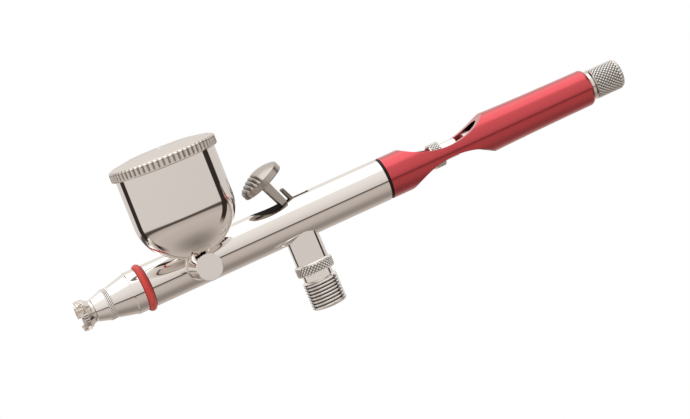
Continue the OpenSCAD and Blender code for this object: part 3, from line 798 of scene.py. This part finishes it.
pivot = np.array([4.45, -1.9])
top = np.array([-0.2, 8.9])
along = unit(top - pivot)
across = np.array([along[1], -along[0]])
lean_deg = math.degrees(math.atan2(along[1], along[0]))
lever_outline = []
for x, z in circle(0, 0, 1.0, lean_deg + 130, lean_deg + 230, 10):
    lever_outline.append((pivot[0] + x, pivot[1] + z))
reach = float(np.hypot(*(top - pivot)))
for s, side in ((reach, 1), (reach, -1)):
    spot = pivot + along * (s - 0.02) + across * 0.4 * side
    lever_outline.append((float(spot[0]), float(spot[1])))
lever = plate("lever_blade", lever_outline, 2.4, 0.1)
finish_piece(lever, "lever", "lever_steel", "back_lever", slot="steel")

# ---------------------------------------------------------------- handle

waist_x = 46.2
cut_r, rail = 22.2, 1.55
HANDLE_REAR = HANDLE_HI[0]
handle = turn(
    "handle_shell",
    [(4.3, HANDLE_LO[0]), (5.8, HANDLE_LO[0], 0.12), (5.8, 55), (5.61, 60), (5.49, 64.3), (5.33, 71.5),
     (5.2, 80), (5.12, HANDLE_REAR - 0.9, 0.5), (4.8, HANDLE_REAR - 0.3, 0.2), (4.5, HANDLE_REAR, 0.1),
     (4.3, HANDLE_REAR)],
    ALONG_X, segments=256,
)
shapes = [SHAPES["handle_shell"]]
cuts = []
for side in (1, -1):
    cut_z = AXIS_Z + side * (cut_r + rail)
    place = Matrix(((1, 0, 0, waist_x), (0, 0, -1, 0), (0, 1, 0, cut_z), (0, 0, 0, 1)))
    disc = [(0, -9), (cut_r, -9), (cut_r, 9), (0, 9)]
    tool = turn(f"waist_{side}_tool", disc, place, ease=0.01, segments=720)
    shapes.append(SHAPES[tool.name])
    cuts.append((tool, "DIFFERENCE"))
handle = combine(handle, cuts)
exact_normals(handle, shapes, 0.02)
finish_piece(handle, "gun_body", "red_anodised", "handle")

seal_lo, seal_hi = extent("handle_seal")
black = turn(
    "joint_ring",
    [(4.4, seal_lo[0] - 0.06), (5.68, seal_lo[0] - 0.06, 0.2), (5.68, seal_hi[0], 0.2), (4.4, seal_hi[0])],
    ALONG_X, segments=160,
)
finish_piece(black, "gun_body", "black_ring", "handle_seal")

bush_lo, bush_hi = extent("tail_bush")
tail = turn(
    "tail_collar",
    [(2.6, bush_lo[0]), (4.25, bush_lo[0]), (4.25, HANDLE_REAR), (3.9, HANDLE_REAR),
     (3.9, bush_hi[0] - 0.02, 0.15), (2.6, bush_hi[0])],
    ALONG_X, segments=160,
)
finish_piece(tail, "gun_body", "turned_nickel", "tail_bush")

knob = turn(
    "preset_knob_grip",
    [(1.97, KNOB_LO[0]), (4.05, KNOB_LO[0], 0.05), (4.24, KNOB_LO[0] + 0.12, 0.05),
     (4.24, KNOB_HI[0] - 1.35, 0.12), (3.75, KNOB_HI[0] - 0.62, 0.2), (2.2, KNOB_HI[0] - 0.12, 0.4),
     (0, KNOB_HI[0]), (0, KNOB_HI[0] - 2.9), (1.97, KNOB_HI[0] - 2.9)],
    ALONG_X, segments=352,
    relief={2: (diamond_knurl(26, 1.1, 0.32), 0.06), 3: (diamond_knurl(26, 1.1, 0.24), 0.06),
            4: (diamond_knurl(28, 1.3, 0.08), 0.1)},
)
finish_piece(knob, "preset_grip", "knurled_nickel", "preset_knob")

# ---------------------------------------------------------------- chuck nut

NUT_FRONT, NUT_STEP, NUT_REAR = extent("chuck_nut")[0][0], 44.6, 49.2
nut = turn(
    "chuck_nut_grip",
    [(1.75, NUT_FRONT), (3.25, NUT_FRONT, 0.08), (3.5, NUT_FRONT + 0.25, 0.06), (3.5, NUT_STEP - 0.25, 0.06),
     (3.25, NUT_STEP, 0.08), (2.47, NUT_STEP, 0.1), (2.47, NUT_REAR, 0.2), (0.75, NUT_REAR), (0.75, 48.2),
     (1.75, 47.3)],
    ALONG_X, segments=256, relief={2: (diamond_knurl(24, 0.9, 0.2), 0.06)},
)
finish_piece(nut, "nut", "knurled_nickel", "chuck_nut", slot="turned_nickel")

# ---------------------------------------------------------------- feed and cup

stub_end = -extent("elbow_plug")[0][1]
elbow = turn(
    "feed_stub",
    [(1.1, 2.5), (2.2, 2.5), (2.2, 6.95), (3.6, 6.95, 0.1), (3.6, stub_end - 0.42, 0.04),
     (1.1, stub_end - 0.42)],
    FEED, segments=192,
)
finish_piece(elbow, "feed", "polished_nickel", "feed_elbow")
plug = turn(
    "stub_end_disc",
    [(0, stub_end - 0.40), (3.6, stub_end - 0.40, 0.04), (3.6, stub_end, 0.22), (0, stub_end)],
    FEED, segments=192,
)
finish_piece(plug, "feed", "polished_nickel", "elbow_plug")

CUP_R = extent("cup_bowl")[1][1] - CUP_Y
CUP_WALL = 0.9
WALL_Z, RIM_Z, BOTTOM_Z, NECK_R = 15.8, 30.9, 3.3, 2.6


def bowl(r, depth, end):
    points = []
    for k in range(0, 45):
        a = math.radians(2 * k)
        if r * math.cos(a) <= end + 0.1:
            break
        points.append((r * math.cos(a), WALL_Z - depth * math.sin(a)))
    points.append((end, WALL_Z - depth * math.sqrt(1 - (end / r) ** 2)))
    return points


outer = bowl(CUP_R, WALL_Z - BOTTOM_Z, NECK_R)
inner = bowl(CUP_R - CUP_WALL, WALL_Z - BOTTOM_Z - 1.2, 1.2)
cup = turn(
    "cup",
    [(CUP_R - CUP_WALL, RIM_Z, 0.3), (CUP_R, RIM_Z, 0.3)] + outer + inner[::-1],
    CUP, ease=0.1, segments=288,
)
finish_piece(cup, "feed", "polished_nickel", "cup_bowl")

LID_R = extent("lid")[1][1] - CUP_Y
LID_TOP = 33.0
lid = turn(
    "cup_lid_cap",
    [(0.6, 31.3), (CUP_R + 0.05, 31.3), (CUP_R + 0.05, 28.9), (LID_R - 0.25, 28.9, 0.1), (LID_R, 29.1, 0.08),
     (LID_R, 31.25, 0.1), (LID_R - 0.35, 31.6, 0.2), (LID_R - 1.3, 32.0, 0.5), (9.4, LID_TOP - 0.32),
     (5.0, LID_TOP - 0.13), (0.9, LID_TOP, 0.15), (0.6, LID_TOP - 0.25)],
    CUP, segments=576,
    relief={4: (straight_knurl(64, 0.34), 0.12), 5: (straight_knurl(64, 0.2), 0.08)},
)
finish_piece(lid, "cup_lid", "lid_nickel", "lid", slot="polished_nickel")

# ---------------------------------------------------------------- CAD nodes that are shown as they are

CARRIED = {
    "fluid_nozzle": "turned_nickel", "nozzle_seal": "white_seal", "needle_packing": "white_seal",
    "packing_screw": "steel", "casing_seal": "white_seal", "guide_bush": "brass",
    "plunger_packing": "dark_rubber", "valve_spring": "spring_steel", "spring_retainer": "steel",
    "valve_plunger": "steel", "valve_disc_seal": "dark_rubber", "lever_pin": "steel",
    "needle": "needle_steel", "chuck_tube": "steel", "needle_spring": "spring_steel",
    "spring_housing": "turned_nickel", "stop_rod": "steel", "preset_screw": "steel",
    "feed_seal": "white_seal", "lid_seal": "dark_rubber",
}
for node, finish in CARRIED.items():
    obj = frame["nodes"][node]
    obj.data.materials.clear()
    obj.data.materials.append(FINISH[finish])

# ---------------------------------------------------------------- surroundings

world = bpy.data.worlds.new("studio")
bpy.context.scene.world = world
world.use_nodes = True
sky = Nodes(world.node_tree)


def stops(table):
    """(degrees from -90 to 90, colour[, strength]) rows as ramp stops."""
    rows = []
    for row in table:
        gain = row[2] if len(row) > 2 else 1.0
        rows.append(((row[0] + 90) / 180, [c * gain for c in srgb(row[1])[:3]] + [1.0]))
    return rows


def step(value, low, high):
    inputs = {0: value, 1: low, 2: high, 3: 0.0, 4: 1.0}
    return sky.add("ShaderNodeMapRange", inputs, interpolation_type="SMOOTHSTEP").outputs[0]


# A studio by direction alone, the same for every part and view: white above with a wide lamp overhead, a pale
# table that dims straight below, its dim far edge, and two dark upright flags for polished metal to show
FLAGS_AT = (-137, 93)  # degrees from -Y towards +X
FLAG_OUTSIDE, FLAG_INSIDE = 11, 8  # half widths in degrees, with a soft edge between them
FLAG_END, FLAG_FULL = 50, 35  # degrees above and below the horizon
direction = sky.add("ShaderNodeTexCoord").outputs["Generated"]
parts = sky.add("ShaderNodeSeparateXYZ", {0: direction}).outputs
height = sky.math("DEGREES", sky.math("ARCSINE", parts["Z"]))
turned_by = sky.math("DEGREES", sky.math("ARCTAN2", parts["X"], sky.math("MULTIPLY", parts["Y"], -1.0)))
colour = sky.ramp(
    sky.math("ADD", sky.math("MULTIPLY", height, 1 / 180), 0.5),
    stops([
        (-90, "#857C76"), (-72, "#9A918A"), (-52, "#BDB3AC"), (-30, "#C8BEB7"), (-19, "#BDB2AB"),
        (-16, "#554B46"), (-12, "#554B46"), (-9.5, "#D6D0CC"), (15, "#EAE5E1"), (50, "#F6F3F0"),
        (58, "#FFFFFF", 1.5), (90, "#FFFFFF", 1.5),
    ]),
)
upright = step(sky.math("ABSOLUTE", height), FLAG_END, FLAG_FULL)
for flag_at in FLAGS_AT:
    across_flag = sky.math("ABSOLUTE", sky.math("SUBTRACT", turned_by, flag_at))
    flag = sky.math("MULTIPLY", step(across_flag, FLAG_OUTSIDE, FLAG_INSIDE), upright)
    colour = sky.blend(flag, colour, srgb("#332C29"))
# The camera itself sees plain white behind the gun
seen = sky.add("ShaderNodeLightPath").outputs["Is Camera Ray"]
colour = sky.blend(seen, colour, (1, 1, 1, 1))
background = sky.add("ShaderNodeBackground", {"Color": colour, "Strength": 1.0})
sky.tree.links.new(background.outputs[0], sky.add("ShaderNodeOutputWorld").inputs[0])


def area_light(name, place, target, size, power, colour=(1, 1, 1)):
    data = bpy.data.lights.new(name, "AREA")
    data.shape = "DISK"
    data.size = size
    data.energy = power
    data.color = colour
    obj = bpy.data.objects.new(name, data)
    obj.location = place
    obj.rotation_mode = "QUATERNION"
    obj.rotation_quaternion = (Vector(target) - Vector(place)).to_track_quat("-Z", "Y")
    obj.visible_glossy = False
    obj.visible_camera = False
    bpy.context.scene.collection.objects.link(obj)
    return obj


centre = (CAD_LO + CAD_HI) / 2
area_light("key", (-0.45, -0.6, 0.75), centre, 0.5, 9.0, (1, 0.98, 0.96))
area_light("fill", (0.6, -0.5, 0.35), centre, 0.6, 3.0, (0.98, 0.99, 1))
area_light("back", (0.1, 0.7, 0.6), centre, 0.6, 4.0)

FLOOR_R, FLOOR_Z, FLOOR_SIDES = 0.24, -0.15, 96  # in metres
floor_mesh = bpy.data.meshes.new("floor")
rim_angles = [k * 2 * math.pi / FLOOR_SIDES for k in range(FLOOR_SIDES)]
rim = [(FLOOR_R * math.cos(angle), FLOOR_R * math.sin(angle), FLOOR_Z) for angle in rim_angles]
floor_mesh.from_pydata(rim, [], [list(range(FLOOR_SIDES))])
floor = bpy.data.objects.new("floor", floor_mesh)
floor.location = (centre.x, centre.y, 0)
floor.visible_glossy = False
bpy.context.scene.collection.objects.link(floor)
floor_mat = bpy.data.materials.new("pale_floor")
floor_mat.use_nodes = True
paint = Nodes(floor_mat.node_tree)
shade = paint.add("ShaderNodeTexNoise", {"Scale": 40.0}).outputs["Fac"]
pale = paint.blend(paint.math("MULTIPLY", shade, 0.1), (0.86, 0.86, 0.85, 1), (0.82, 0.82, 0.81, 1))
pale_shader = paint.add("ShaderNodeBsdfPrincipled", {"Base Color": pale, "Roughness": 0.7})
paint.tree.links.new(pale_shader.outputs[0], paint.add("ShaderNodeOutputMaterial").inputs[0])
floor_mesh.materials.append(floor_mat)

# ---------------------------------------------------------------- camera

CAMERA_TURN, CAMERA_RISE, CAMERA_ROLL = math.radians(14), math.radians(7.0), math.radians(22.73)
sa, ca, se, ce = math.sin(CAMERA_TURN), math.cos(CAMERA_TURN), math.sin(CAMERA_RISE), math.cos(CAMERA_RISE)
back = Vector((-sa * ce, -ca * ce, se))
right0 = Vector((ca, -sa, 0))
up0 = Vector((sa * se, ca * se, ce))
right = right0 * math.cos(CAMERA_ROLL) - up0 * math.sin(CAMERA_ROLL)
up = right0 * math.sin(CAMERA_ROLL) + up0 * math.cos(CAMERA_ROLL)
# The middle of the picture, from the valve's axis at the barrel's height
AIM_RIGHT, AIM_UP, DISTANCE = 13.43, 2.64, 700
target = Vector((0, 0, AXIS_Z)) + AIM_RIGHT * right + AIM_UP * up
place = target + DISTANCE * back
camera_data = bpy.data.cameras.new("camera")
camera_data.lens = 137
camera_data.sensor_width = 36
camera_data.clip_start = 0.05
camera_data.clip_end = 10
camera = bpy.data.objects.new("camera", camera_data)
bpy.context.scene.collection.objects.link(camera)
columns = [right, up, back]
camera.matrix_world = Matrix(
    [[columns[c][r] for c in range(3)] + [place[r] * MM] for r in range(3)] + [[0, 0, 0, 1]]
)
bpy.context.scene.camera = camera
bpy.context.scene.view_settings.view_transform = "Standard"
bpy.context.scene.view_settings.look = "None"
